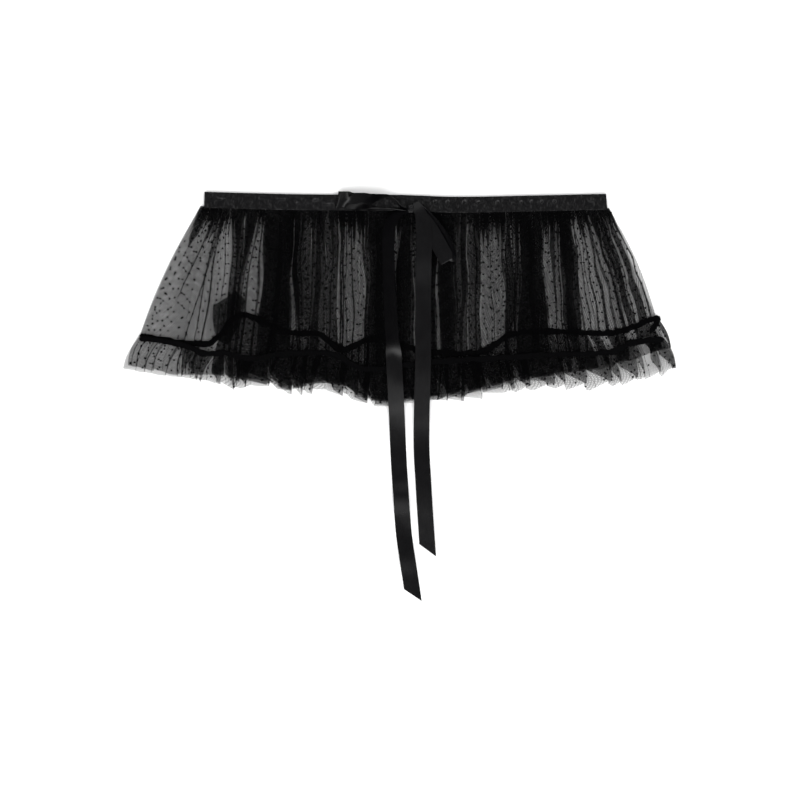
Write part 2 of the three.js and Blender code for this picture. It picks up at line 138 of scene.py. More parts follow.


# %% [markdown]
# ## Net
# Tulle is a net of fine black yarn. Its holes are about a millimetre wide, too small to see at arm's
# length, so what counts is the share of the light that each layer stops. A hexagon net comes from three
# cosine waves, turned 60 degrees from each other: their sum is highest in the middle of each hole.
# In the light gaps between the folds a map thickens the net a little: painted shade, for the shade that a
# fuller skirt casts on the table under it.

# %% The net material
NET_PITCH = 1.25
NET_TURNS = (17, 77, 137)
HOLE_ALPHA = 0.09
YARN_ALPHA = 0.55
YARN_EDGE = (-0.2, 0.9)
# painted shade: the net gets up to this share more alpha in the light gaps, for the shade on the table
# under a fuller skirt
PAINTED_SHADE_ALPHA = 0.3


def new_material(name, colour, roughness, specular):
    """A Principled material, with its node tree and its shader."""
    material = bpy.data.materials.new(name)
    material.use_nodes = True
    shader = material.node_tree.nodes["Principled BSDF"]
    shader.inputs["Base Color"].default_value = (*colour, 1)
    shader.inputs["Roughness"].default_value = roughness
    shader.inputs["Specular IOR Level"].default_value = specular
    return material, material.node_tree, shader


def own_map(tree, name="cloth"):
    """A map of the piece itself: the place on the flat cloth, in metres, or the painted shade that thickens
    the net.
    """
    node = tree.nodes.new("ShaderNodeUVMap")
    node.uv_map = name
    return node.outputs["UV"]


def math_node(tree, operation, first, second=None):
    """A Math node on one or two sockets or numbers."""
    node = tree.nodes.new("ShaderNodeMath")
    node.operation = operation
    for socket, value in zip(node.inputs, (first, second)):
        if isinstance(value, bpy.types.NodeSocket):
            tree.links.new(value, socket)
        elif value is not None:
            socket.default_value = value
    return node.outputs[0]


def wave(tree, place, turn, pitch):
    """The cosine of a plane wave across the cloth: turn is in degrees and pitch in metres."""
    node = tree.nodes.new("ShaderNodeVectorMath")
    node.operation = "DOT_PRODUCT"
    tree.links.new(place, node.inputs[0])
    number = 2 * np.pi / pitch
    node.inputs[1].default_value = (number * np.cos(np.radians(turn)), number * np.sin(np.radians(turn)), 0)
    return math_node(tree, "COSINE", node.outputs["Value"])


def smooth_step(tree, socket, low, high, to_low, to_high):
    """A smooth step: to_low where the socket is at low or less, and to_high at high or more."""
    step = tree.nodes.new("ShaderNodeMapRange")
    step.interpolation_type = "SMOOTHSTEP"
    for name, value in zip(("From Min", "From Max", "To Min", "To Max"), (low, high, to_low, to_high)):
        step.inputs[name].default_value = value
    tree.links.new(socket, step.inputs["Value"])
    return step.outputs["Result"]


def tulle_material():
    """Black yarn whose alpha is high on the net's threads and low in its holes, and raised a little by the
    painted shade map.
    """
    material, tree, shader = new_material("tulle", (0.0014, 0.0014, 0.0016), 1.0, 0.02)
    place = own_map(tree)
    waves = [wave(tree, place, turn, NET_PITCH * MM * np.sqrt(3) / 2) for turn in NET_TURNS]
    net = math_node(tree, "ADD", math_node(tree, "ADD", waves[0], waves[1]), waves[2])
    veil = smooth_step(tree, net, *YARN_EDGE, YARN_ALPHA, HOLE_ALPHA)
    split = tree.nodes.new("ShaderNodeSeparateXYZ")
    tree.links.new(own_map(tree, "drawn"), split.inputs[0])
    # painted shade: the net is made denser where the map says, which darkens the light gaps
    shade_thickening = math_node(tree, "MULTIPLY_ADD", split.outputs["X"], PAINTED_SHADE_ALPHA)
    shade_thickening.node.inputs[2].default_value = 1
    alpha = math_node(tree, "MULTIPLY", veil, shade_thickening)
    tree.links.new(alpha, shader.inputs["Alpha"])
    return material


PILE_BLACK = (0.0012, 0.0012, 0.0014)
tulle = tulle_material()
flock = new_material("flock", PILE_BLACK, 1.0, 0.02)[0]

# %% [markdown]
# ## Satin and velvet
# Satin ribbon is faintly ribbed along its weft and gets its look from soft, wide highlights on very dark
# cloth. Velvet swallows light. Both read the cloth map, so the ribs keep their size round every bend.

# %% Satin and velvet materials
def add_bump(tree, shader, height, strength, distance):
    """Feeds a height socket to the shader's normal. distance is in metres."""
    bump = tree.nodes.new("ShaderNodeBump")
    bump.inputs["Strength"].default_value = strength
    bump.inputs["Distance"].default_value = distance
    tree.links.new(height, bump.inputs["Height"])
    tree.links.new(bump.outputs["Normal"], shader.inputs["Normal"])


def satin_material():
    """Near-black satin, with ribs a third of a millimetre apart and a slightly uneven gloss."""
    material, tree, shader = new_material("satin", (0.0014, 0.0013, 0.0017), 0.3, 0.25)
    place = own_map(tree)
    ribs = wave(tree, place, 0, 0.33 * MM)
    noise = tree.nodes.new("ShaderNodeTexNoise")
    noise.inputs["Scale"].default_value = 90
    tree.links.new(place, noise.inputs["Vector"])
    gloss = math_node(tree, "MULTIPLY_ADD", noise.outputs["Fac"], 0.1)
    gloss.node.inputs[2].default_value = 0.2
    tree.links.new(gloss, shader.inputs["Roughness"])
    height = math_node(tree, "ADD", ribs, math_node(tree, "MULTIPLY", noise.outputs["Fac"], 6.0))
    add_bump(tree, shader, height, 0.35, 0.02 * MM)
    return material


def velvet_material():
    """A band of short black pile: fully rough, with a fine crumbled surface."""
    material, tree, shader = new_material("velvet", PILE_BLACK, 1.0, 0.04)
    place = own_map(tree)
    noise = tree.nodes.new("ShaderNodeTexNoise")
    noise.inputs["Scale"].default_value = 1400
    noise.inputs["Detail"].default_value = 3
    tree.links.new(place, noise.inputs["Vector"])
    add_bump(tree, shader, noise.outputs["Fac"], 0.6, 0.3 * MM)
    return material


satin = satin_material()
velvet = velvet_material()

# %% [markdown]
# ## The skirt's outline
# The waist, the seam over each ruffle and the free edge of the front ruffle are curves through given
# points, in millimetres from the middle of the whole piece, as in the solids.

# %% Waist, seams and hem
RIBBON_WIDTH = 15.0
WAIST_LEFT, WAIST_RIGHT = -185.0, 196.0
GATHER_LEFT, GATHER_RIGHT = -189.0, 199.0
SIDE_BULGE = 4.5
waist_top = curve([-185, -94, 0, 53, 133, 196], [194.3, 192, 191.4, 189.6, 191, 192.4])
front_seam = curve(
    [-247, -222, -202, -184, -166, -148, -132, -116, -95, -68]
    + [-54, -44, -34, -12, 5, 48, 138, 200, 220, 251],
    [55.2, 52.2, 48.2, 40.4, 41.8, 37, 36.8, 39.5, 41.4, 41]
    + [36.6, 29.8, 26.4, 26.8, 30, 33.7, 39.4, 42.3, 50.8, 54.6],
)
back_seam = curve(
    [-247, -202, -186, -178, -170, -161, -151, -138, -125, -107, -93, -75, -67]
    + [-60, -54, -46, -33, -16, 10, 56, 83, 105, 152, 202, 226, 244],
    [57.6, 50.6, 49.8, 51.6, 59, 70.5, 77.5, 75, 69.4, 61.8, 60.3, 58.8, 52.5]
    + [46, 44.3, 46.5, 52.7, 55, 46, 40.4, 44.2, 58.6, 61.5, 60.3, 67.9, 75.5],
)
front_hem = curve(
    [-262.5, -231, -186, -151, -138, -112, -92, -83, -60, -50, -26, 20, 88, 134, 190, 228, 262.5],
    [26.5, 21.4, 15.7, 8.5, 11, 9, 5.5, 4.5, 7, 1, -5.5, -3.3, 3.3, 9.5, 10, 16.6, 27.1],
)
FRONT_SEAM_ENDS = (-247.0, 251.0)
BACK_SEAM_ENDS = (-247.0, 244.0)

# %% [markdown]
# ## Doubled cloth
# Gathered net looks light where it lies single and dark where it is folded in three. So the skirt is
# described by its folds: a table holds the left and right edge of each doubled strip at the waist, half
# way down and at the seam. Narrow strips are the fine dark creases, wide ones the dark panels. A strip
# that stops before the seam has the share of the way down where it ends.

# %% Main folds of the front and the back
FRONT_FOLDS = [
    # waist from, to, middle from, to, seam from, to, and where it ends
    (-172, -169.5, -199.6, -198.4, -227, -226.5, 0.75),
    (-166, -160.8, -186.4, -185, -206.5, -204.8),
    (-158.5, -149, -161.5, -154, -167, -161),
    (-145.5, -132, -151.5, -146, -158, -155),
    (-128, -112, -130, -111.5, -136.5, -118),
    (-113, -100, -117, -101.5, -122.5, -104),
    (-99, -93.5, -100, -95.5, -97, -93),
    (-78, -75, -80.5, -75.5, -85.5, -77),
    (-57.5, -55.5, -57.3, -55.8, -58, -56.5),
    (-47, -45.5, -46, -44.7, -46, -44.6),
    (-36, -34, -33.7, -31.5, -34, -32.5),
    (-29, -17.5, -29, -16, -31.5, -17),
    (-23, -10, -22, -8, -22.5, -8),
    (3, 11.5, -2.5, 11, -4, 10.5),
    (27, 36, 30, 36, 31, 36),
    (37, 53, 38, 54, 39, 55),
    (58, 63, 57.5, 61.5, 57.5, 59.5),
    (70, 71.5, 70.5, 72, 72, 73.5),
    (84.5, 85.2, 86.5, 87.2, 90.5, 91.2),
    (94.5, 97, 98.5, 102, 100, 105),
    (114.5, 124.5, 113.5, 130, 111, 133),
    (121, 133, 124, 137.5, 126, 143),
    (142, 149, 146.5, 149, 151, 152),
    (153, 162, 154.5, 166, 161, 172),
    (167.5, 168.5, 178, 178.7, 189.5, 190.2),
    (176, 183, 199, 204, 214, 217),
    (187, 195, 207, 210.5, 226, 228.5),
]
BACK_FOLDS = [
    (-186.5, -177, -215, -211, -240, -239, 0.33),
    (-171, -169, -184, -183, -196, -195.4),
    (-157, -147, -157, -152, -161, -158),
    (-145, -133, -151, -147, -157.5, -155),
    (-126.5, -113, -129, -112.5, -135, -119),
    (-113, -100, -112.5, -102, -119, -105),
    (-98.5, -84, -99.5, -83, -96, -84),
    (-83, -70.5, -83, -70, -84, -70.5),
    (-69, -58, -70, -58.5, -70, -59),
    (-51, -50.3, -51, -50.3, -51, -50.3),
    (-32.5, -20, -33, -20, -33, -20),
    (-20, -7.5, -20, -6.5, -20, -7),
    (3.5, 14, -2, 14, -3, 14),
    (14, 26, 14.5, 27, 15, 28),
    (26.5, 35.5, 27.5, 35.5, 28.5, 34.5),
    (38.5, 52, 38.5, 53, 40, 53),
    (52.5, 64, 53.5, 65, 53.5, 65),
    (64.5, 76, 65.5, 77, 65.5, 78),
    (101, 102, 99.5, 107.5, 100.5, 107.5),
    (111.5, 112.5, 108, 113, 108.5, 111),
    (113.5, 126, 114, 127, 112, 130),
    (126.5, 134, 127.5, 138, 131, 142),
    (150, 161, 156.5, 170, 160, 173),
    (184, 189, 203, 209, 218, 222),
    (193, 197, 213, 218, 228, 236),
]
FOLD_FADES = 0.12


def fold_edges(folds, down):
    """Left and right edge of each fold at each share of the way down: a parabola through its three places.
    Where a fold has ended, both edges meet in its middle. A row that names no end runs to the seam."""
    table = np.array([(*row, 1)[:7] for row in folds])[:, :, None]
    at_waist, at_middle = 2 * (down - 0.5) * (down - 1), 4 * down * (1 - down)
    at_seam = 2 * down * (down - 0.5)
    left = table[:, 0] * at_waist + table[:, 2] * at_middle + table[:, 4] * at_seam
    right = table[:, 1] * at_waist + table[:, 3] * at_middle + table[:, 5] * at_seam
    ends = table[:, 6]
    runs = np.where(ends < 1, 1 - smooth(down, ends - FOLD_FADES, ends), 1)
    middle, half = (left + right) / 2, (right - left) / 2 * runs
    return middle - half, middle + half


# %% [markdown]
# Between the main folds lie the gathers that the waistband makes, as many in each gap as fit side by side.
# They are deepest at the waist and open out on their way down, each at its own height, and some stay as
# thin creases. A gap too narrow for a gather is shut at the waist by the fold beside it.

# %% Gathers in the gaps
CREASE_DEPTH = (0.1, 0.26)
THINNEST_FOLD = 0.03
OPENS = (0.05, 0.28)
CLOSED = (0.72, 0.95)
WAIST_SHUT = (0.03, 0.14)


def gather_cells(low, high, room, spacing, random):
    """Bounds of the gathers in a gap, as shares of it: each about as wide as spacing(x) says there."""
    bounds = [0.0]
    while room > 0.7 * spacing(low) and bounds[-1] < 1 - 0.4 * spacing(high) / room:
        width = spacing(mix(low, high, bounds[-1]))
        bounds.append(bounds[-1] + width * random.uniform(0.7, 1.3) / room)
    return np.array(bounds) / max(bounds[-1], 1e-6)


def with_gathers(left, right, start, end, down, gathers, random):
    """Adds gathers to each gap between folds, and returns the edges of all of them in order. gathers holds
    three functions of the place across: how wide a gather is, how much of its width stays folded, and how
    many creases stay."""
    spacing, lasting, creased = gathers
    lefts, rights = [], []
    for k, (low, high) in enumerate(zip(np.vstack([start, right]), np.vstack([left, end]))):
        gap = high - low
        bounds = gather_cells(low.mean(), high.mean(), max(gap[0], gap.mean() / 1.6), spacing, random)
        if k > 0 and len(bounds) == 1:
            rights[-1] = rights[-1] + gap * (1 - smooth(down, *WAIST_SHUT))
        for cell_from, cell_to in zip(bounds[:-1], bounds[1:]):
            width = gap * (cell_to - cell_from)
            middle = low + gap * (cell_from + cell_to) / 2
            stays, crease_odds = lasting(middle.mean()), creased(middle.mean())
            loose = smooth(stays, 1.0, 0.6)
            middle = middle + width * random.uniform(-0.16, 0.16) * (0.1 + 0.9 * loose)
            middle = middle + random.normal(0, 0.3) * width * loose * (down - 0.3)
            crease = random.uniform(*CREASE_DEPTH) * (random.random() < crease_odds)
            rest = max(crease, stays * (random.uniform(1.0, 1.06) + loose * random.uniform(-0.5, 0.5)))
            fade = 1 - smooth(down, 0.25 * random.uniform(*OPENS), random.uniform(*OPENS) + 0.08)
            shut = mix(1, random.uniform(*CLOSED), smooth(down, *WAIST_SHUT))
            depth = width * np.maximum(rest, mix(rest, shut, fade))
            depth = np.maximum(depth, THINNEST_FOLD)
            lefts.append(middle - depth / 2)
            rights.append(middle + depth / 2)
        if k < len(left):
            lefts.append(left[k])
            rights.append(right[k])
    return np.array(lefts), np.array(rights)


# %% [markdown]
# One fold is laid as cloth really goes: forward to the strip's right edge, back to its left edge over
# itself, and forward again on top. So the place across is a zigzag, and the height climbs one layer at
# each turn and comes down before the next fold, which may lie partly on this one.

# %% Zigzag of a folded sheet
LAYER = 0.42


def zigzag(left, right, start, end):
    """Place across and height in layers for each column of cloth. left and right hold the folds' edges, one
    row for each fold and one column for each step down, and start and end are the cloth's sides."""
    depth = right - left
    turn = np.minimum(0.15 * depth, 0.35)
    stands = smooth(depth, 0, 1.5)
    following = np.vstack([left[1:], end])
    near, far = np.minimum(right, following), np.maximum(right, following)
    across = [right, right - turn, left + turn, left, left + turn, near, (near + far) / 2, far]
    over = smooth(np.vstack([start, right[:-1]]) - left, 0, 1.5)
    under = smooth(right - following, 0, 1.5)
    layers = [0.3, 1, 1 + over, 1.5 + 1.5 * over, 2 + 1.5 * over]
    layers += [1.9 + 0.2 * under, 0.5 + 1.5 * under, 1.8 * under]
    x = np.stack(across, axis=1).reshape(-1, left.shape[1])
    height = np.stack([layer * stands for layer in layers], axis=1).reshape(x.shape)
    first = np.stack([start, mix(start, left[0], 0.5), left[0]])
    return np.vstack([first, x]), np.vstack([np.zeros_like(first), height])


def flat_places(along, aside):
    """Each point's place on the flat cloth, from the length along it and the length across."""
    return np.stack(np.broadcast_arrays(along[:, None], aside[None, :]), axis=2)


def net_piece(name, x, y, z, down, drop, drawn=None):
    """A piece of net, drop millimetres deep. The length along the cloth at each column is the steps across,
    averaged over all rows, added up."""
    length = np.append(0, np.cumsum(np.abs(np.diff(x, axis=0)).mean(axis=1)))
    points, cloth = np.stack([x, y, z], axis=2), flat_places(length, down * drop)
    piece = add_piece(name, points, grid_faces(*x.shape), cloth, tulle, drawn=drawn)
    print(name, "is", round(length[-1]), "mm of cloth,", round(drop), "mm deep")
    return piece, points, cloth


# %% [markdown]
# The front layer lies on the back layer. It comes down low at the skirt's edges and passes over the back
# band, as in the solids. Long shallow swells keep the cloth from looking ironed when seen from the side.

# %% Heights of the layers
SIDE_BASE, WAIST_BASE, FRONT_BASE, BACK_BASE = 1.35, 2.0, 3.4, 0.25


def front_base(inside, down):
    """Height of the front layer's lowest cloth: low at the sides and the waist, high in between."""
    over_band = smooth(down, 0.5, 0.78) * (1 - smooth(down, 1.1, 1.6))
    level = mix(mix(SIDE_BASE, FRONT_BASE, over_band), FRONT_BASE, smooth(inside, 0, 14))
    return mix(np.minimum(WAIST_BASE, level), level, smooth(down, 0, 0.25))


def back_base(inside, down):
    """The back layer lies on the table."""
    return BACK_BASE + 0 * inside


def swell(x, down, phase):
    """A slow rise and fall between 0 and 1."""
    return 0.5 + 0.3 * np.sin(x / 9.5 + phase + down) + 0.2 * np.sin(x / 4.1 - 2 * phase - 2.3 * down)


def waver(x, down, phase):
    """A small shift across, in millimetres. It changes slowly, so neighbouring folds never swap places."""
    wide = np.sin(x / 11.0 + phase + 4.2 * down) * np.sin(5.1 * down + x / 23.0)
    narrow = np.sin(x / 4.7 - phase + 7.0 * down) * np.sin(9.0 * down + x / 9.0 + phase)
    return (2.0 * wide + 0.9 * narrow) * np.sin(np.pi * np.clip(down, 0, 1))


# %% [markdown]
# ## The gathered panels
# A panel runs from the waistband to its seam, and each column of cloth goes straight down.

# %% Build a panel
PANEL_ROWS = 46
WINDOWS = [
    # light gaps between the folds: waist from, to, middle from, to, seam from, to, how much painted shade
    # thickens the net
    (-190, -166, -207, -170, -220, -180, 0.3),
    (-132, -128, -146, -130, -155, -137, 0.5),
    (-100, -99, -103.5, -98, -104, -97, 1),
    (-58, -33, -58, -33, -59, -33, 1),
    (-8, 3, -8, -2, -8, -3, 0.8),
    (35, 39, 35.5, 38.5, 34.5, 40, 0.8),
    (76, 96, 77, 98.5, 78, 100, 1),
    (98, 115, 102, 114, 105, 112, 0.6),
    (134, 154, 137.5, 155, 143, 161, 0.8),
    (162, 177, 166, 200, 172, 214, 0.35),
]


def painted_gap_shade(x, down):
    """Painted shade: how much the net is thickened, as the table says in the light gaps, and 0 outside
    them.
    """
    left, right = fold_edges([row[:6] for row in WINDOWS], down)
    shares = [row[6] for row in WINDOWS]
    return sum(
        share * smooth(x, low - 1, low + 1) * (1 - smooth(x, high - 1, high + 1))
        for share, low, high in zip(shares, left, right)
    )


def panel_sheet(name, folds, gathers, seam, seam_ends, inset, base, seed):
    """A gathered panel of net. gathers is as in with_gathers, inset pulls its right edge in half way down,
    where the other panel shows single, and base is its height over the table."""
    random = np.random.default_rng(seed)
    down = np.linspace(0, 1, PANEL_ROWS) ** 1.15
    bulge = SIDE_BULGE * np.sin(np.pi * down)
    start = mix(GATHER_LEFT, seam_ends[0], down) - bulge
    end = mix(GATHER_RIGHT, seam_ends[1], down) + bulge - inset * np.sin(np.pi * down) ** 2
    left, right = fold_edges(folds, down)
    left, right = with_gathers(left, right, start, end, down, gathers, random)
    x, layers = zigzag(left, right, start, end)
    x = np.clip(x + waver(x, down, seed), start, end)
    top = waist_top(x[:, :1]) - RIBBON_WIDTH + 1.5
    y = mix(top, seam(x[:, -1:]), down)
    inside = np.minimum(x - start, end - x)
    room = smooth(inside, 0, 12) * smooth(down, 0, 0.12) * (1 - 0.7 * smooth(down, 0.85, 0.97))
    z = base(inside, down) + LAYER * layers * mix(0.4, 1, room) + 1.1 * swell(x, 3 * down, seed) * room
    drop = float(np.abs(y[:, 0] - y[:, -1]).mean())
    # the net carries painted shade in its light gaps
    return net_piece(name, x, y, z, down, drop, painted_gap_shade(x, down))


FINE = 5.2
# the front's gathers all open out, and only its main folds reach the seam
front_stays = curve([-262, 262], [0, 0])
front_creased = curve([-262, -196, -180, -160, 262], [0, 0, 0.1, 0.3, 0.3])
back_creased = curve([-262, -196, -180, 172, 200, 262], [0, 0, 0.15, 0.2, 0.2, 0.2])
back_stays = curve(
    [-262, -196, -186, -170, -154, 160, 174, 182, 204, 216, 262],
    [0, 0, 0.03, 0.1, 0, 0, 0.1, 0.3, 0.3, 0.2, 0.1],
)


def spacing(x):
    """Fine gathers, but wider ones in the quiet cloth at the left."""
    return mix(1.6 * FINE, FINE, smooth(x, -200, -170))


front_panel, front_points, front_cloth = panel_sheet(
    "front_tulle", FRONT_FOLDS, (spacing, front_stays, front_creased),
    front_seam, FRONT_SEAM_ENDS, 5.0, front_base, 3,
)
back_panel, back_points, back_cloth = panel_sheet(
    "back_tulle", BACK_FOLDS, (spacing, back_stays, back_creased),
    back_seam, BACK_SEAM_ENDS, 0.0, back_base, 8,
)
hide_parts("skirt_front")
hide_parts("skirt_back")

# %% [markdown]
# Low on the left of the front a corner of cloth is turned over on itself, in three layers, over the place
# where the back band climbs.

# %% Lay the turned fold
TURNED_LEFT = [(0, -177.2, 86), (0.45, -176.2, 70.8), (1, -174.3, 53.7)]
TURNED_RIGHT = [(0, -155.3, 99.3), (0.15, -145.8, 91.7), (0.5, -148.7, 74.6), (0.75, -155.3, 63.2)]
TURNED_RIGHT += [(1, -163, 49)]
TURNED_LAYERS = 3
TURNED_CUT = (0.065, 0.04)
TURNED_HEIGHT = 6.2


def turned_fold():
    """A strip that passes to and fro between two edges, one layer higher each time. Each edge is a table of
    a share of the way down, x and y."""
    down = np.linspace(0, 1, 25)
    share = np.linspace(0, TURNED_LAYERS, 12 * TURNED_LAYERS + 1)
    across = (1 - np.abs(share % 2 - 1))[:, None]
    sides = []
    for edge in (TURNED_LEFT, TURNED_RIGHT):
        at, xs, ys = np.array(edge).T
        sides.append((np.interp(down, at, xs), np.interp(down, at, ys)))
    x, y = (mix(on_left, on_right, across) for on_left, on_right in zip(*sides))
    x = x + 0.8 * np.sin(7 * down + share[:, None])
    z = TURNED_HEIGHT + 0.35 * share[:, None] + 0.5 * swell(x, down, 2.0)
    return net_piece("front_turned_fold", x, y, z, down, TURNED_CUT[1] / MM)[0]


turned = turned_fold()
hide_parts("skirt_front")

# %% [markdown]
# ## The ruffles
# The ruffle is a narrow strip of the same net, gathered harder than the skirt and free at its lower edge.
# Near the band each pleat is folded over all its width, so the cloth lies in three everywhere. Towards
# the hem the pleats open, and a narrow fold stays at the side of each. The cloth hangs a little turned
# there, so the free edge falls along each pleat and jumps back at its fold.

# %% Build a ruffle
FRONT_HEM_ENDS = (-262.5, 262.5)
BACK_HEM_ENDS = (-258.0, 258.0)
back_hem_lift = curve(
    [-258, -200, -170, -150, -140, -100, -92, -62, -50, -36, -16, 20, 70, 86, 100, 140, 165, 200, 240, 258],
    [4, 3, 8, 8, 2, 2, 7, 7, 10, 4, 3, 2, 2, 6, 8, 8, 14, 18, 22, 21],
)
RUFFLE_ROWS, RUFFLE_BULGE = 17, 3.0
RUFFLE_CREASE = (0.35, 0.8)


def back_hem(x):
    """The back ruffle's free edge shows above the front one's."""
    return front_hem(x) + back_hem_lift(x)


def ruffle_folds(bounds, fullness, at_hem, down, random):
    """Edges of a ruffle's folds: in each pleat a thin crease, then the fold at its right side. Also how far
    along its pleat each lies at the hem."""
    low, high = bounds[:-1], bounds[1:]
    width = high - low
    spans = ((1.0, 1.15), (0.4, 1.6), (0.7, 1.5), (0.2, 0.8), RUFFLE_CREASE)
    near_band, near_hem, pace, place, crease = (random.uniform(*span, (len(width), 1)) for span in spans)
    near_hem = np.minimum(near_hem * at_hem((low + high)[:, -1:] / 2), 1.05)
    closed = mix(near_band, near_hem, smooth(down, 0.5, 0.92) ** pace)
    depth = np.maximum(width * fullness((low + high) / 2) * closed, 0.7)
    room = np.maximum(width - depth, 0)
    middle, half = low + place * room, np.clip(crease / 2, 0.05, 0.05 + 0.2 * room)
    left = np.stack([middle - half, high - depth], axis=1).reshape(-1, bounds.shape[1])
    right = np.stack([middle + half, high], axis=1).reshape(left.shape)
    along = np.stack([((middle - low) / width)[:, -1], np.ones(len(width))], axis=1).ravel()
    return left, right, along


def hem_steps(turn, along, arc):
    """How far the free edge lies above the hem line at each column: it falls by the turn along each pleat,
    sags by the arc between folds, and jumps back within the fold at the pleat's side."""
    turn, following = np.repeat(turn, 2), np.repeat(np.append(turn[1:], 0), 2)
    at_side = along == 1
    before = turn * (0.5 - along)
    after = np.where(at_side, following / 2, before)
    coming = np.append(before[1:], 0)
    middle = (before + after) / 2
    sag = (after + coming) / 2 - np.repeat(arc, 2)
    columns = [before, before, middle, middle, middle, after, sag, coming]
    return np.concatenate([np.full(3, turn[0] / 2), np.stack(columns, axis=1).ravel()])


def ruffle_sheet(name, pleats, fullness, at_hem, turns, seam, seam_ends, hem, hem_ends, base, seed):
    """A gathered strip of net from a seam to a free hem. fullness(x) is how much of each pleat is folded at
    the band, at_hem(x) how much of that is left at the free edge, and turns(x) how much the edge falls
    along a pleat."""
    random = np.random.default_rng(seed)
    down = np.linspace(0, 1, RUFFLE_ROWS)
    bulge = RUFFLE_BULGE * np.sin(np.pi * down)
    start = mix(seam_ends[0], hem_ends[0], down) - bulge
    end = mix(seam_ends[1], hem_ends[1], down) + bulge
    bounds = np.append(0, np.cumsum(random.uniform(0.35, 1.65, pleats)))
    bounds = (bounds / bounds[-1])[:, None]
    lean = random.normal(0, 0.16 / pleats, bounds.shape) * (bounds > 0) * (bounds < 1)
    bounds = mix(start, end, bounds + lean * down)
    left, right, along = ruffle_folds(bounds, fullness, at_hem, down, random)
    x, layers = zigzag(left, right, start, end)
    turn = turns((bounds[1:, -1] + bounds[:-1, -1]) / 2) * random.uniform(0.1, 1.5, pleats)
    steps = hem_steps(turn, along, random.uniform(0, 1.3, pleats))
    inside = np.minimum(x - start, end - x)
    free = smooth(inside, 0, 10)
    y = mix(seam(x[:, :1]) + 1.0, hem(x[:, -1:]) + steps[:, None] * free[:, -1:], down)
    z = base(inside, 1 + down) + free * (LAYER * layers + (0.2 + 0.9 * down) * swell(1.7 * x, down, seed))
    return net_piece(name, x, y, z, down, float(np.abs(y[:, 0] - y[:, -1]).mean()))


front_fullness = curve([-262, -212, -200, -183, -172, -156, -142, 133, 152, 180, 222, 234, 248, 262],
                       [0.04, 0.2, 0.75, 0.85, 0.45, 0.9, 1.1, 1.1, 0.95, 0.95, 0.9, 0.3, 1.0, 0.5])
back_fullness = curve([-262, -205, -190, -172, -156, -145, 133, 152, 185, 222, 262],
                      [0.04, 0.1, 0.45, 0.3, 0.8, 1.0, 1.0, 0.9, 0.75, 0.6, 0.4])
front_at_hem = curve([-262, -150, -65, -40, 0, 20, 80, 95, 140, 262],
                     [0.25, 0.2, 0.2, 0.5, 0.8, 1.0, 1.0, 0.35, 0.25, 0.3])
back_at_hem = curve([-262, 262], [0.95, 0.95])
front_turns = curve([-262, -204, -180, -120, -20, 20, 120, 190, 262], [0.6, 1.5, 5, 8, 6, -6, -8, -7, -5])
back_turns = curve([-262, -150, -20, 20, 150, 262], [1, 4, 4, -4, -4, -5])
front_ruffle, front_ruffle_points, front_ruffle_cloth = ruffle_sheet(
    "front_ruffle", 34, front_fullness, front_at_hem, front_turns, front_seam, FRONT_SEAM_ENDS, front_hem,
    FRONT_HEM_ENDS, front_base, 5,
)
back_ruffle, back_ruffle_points, back_ruffle_cloth = ruffle_sheet(
    "back_ruffle", 30, back_fullness, back_at_hem, back_turns, back_seam, BACK_SEAM_ENDS, back_hem,
    BACK_HEM_ENDS, back_base, 11,
)
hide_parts("ruffle_front")
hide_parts("ruffle_back")

# %% [markdown]
# ## Flocked dots
# The net has small flocked dots, staggered a centimetre apart. They are real little hexagons, spread over
# the flat cloth and carried to the folded one, each a little above the net and level with the table.

# %% Scatter dots on a sheet
DOT_PITCH = 9.6
DOT_RADIUS = 1.0
DOT_TURN = np.radians(27)
DOT_LIFT = 0.08


def on_sheet(points, cloth, u, v):
    """The place in space of each spot u, v of the flat cloth, straight between the sheet's points."""
    along, down = cloth[:, 0, 0], cloth[0, :, 1]
    i = np.clip(np.searchsorted(along, u) - 1, 0, len(along) - 2)
    j = np.clip(np.searchsorted(down, v) - 1, 0, len(down) - 2)
    s = np.clip((u - along[i]) / np.maximum(along[i + 1] - along[i], 1e-6), 0, 1)[..., None]
    t = np.clip((v - down[j]) / (down[j + 1] - down[j]), 0, 1)[..., None]
    upper = mix(points[i, j], points[i + 1, j], s)
    return mix(upper, mix(points[i, j + 1], points[i + 1, j + 1], s), t)


def scatter_dots(name, points, cloth, seed):
    """Hexagon dots on a staggered grid turned against the cloth, a little uneven in place and size."""
    random = np.random.default_rng(seed)
    width, drop = cloth[-1, 0, 0], cloth[0, -1, 1]
    reach = int(1.2 * (width + drop) / DOT_PITCH)
    column, row = np.meshgrid(np.arange(-reach, reach), np.arange(-reach, reach))
    along, aside = (column + 0.5 * (row % 2)) * DOT_PITCH, row * DOT_PITCH * np.sqrt(3) / 2
    u = along * np.cos(DOT_TURN) - aside * np.sin(DOT_TURN)
    v = along * np.sin(DOT_TURN) + aside * np.cos(DOT_TURN)
    kept = (u > 2) & (u < width - 2) & (v > 3) & (v < drop - 2)
    u, v = (spot[kept][:, None] + random.normal(0, 0.6, kept.sum())[:, None] for spot in (u, v))
    middle = on_sheet(points, cloth, u, v)
    turn = np.arange(6) * np.pi / 3 + random.uniform(0, 1, u.shape)
    side = DOT_RADIUS * random.uniform(0.85, 1.15, u.shape) * np.cos(turn)
    low = DOT_RADIUS * random.uniform(0.85, 1.15, u.shape) * np.sin(turn)
    place = middle + np.stack([side, low, np.full(side.shape, DOT_LIFT)], axis=2)
    faces = np.arange(place.shape[0] * 6).reshape(-1, 6)
    spots = np.stack([u + side, v + low], axis=2)
    return add_piece(name, place, faces, spots, flock, False)


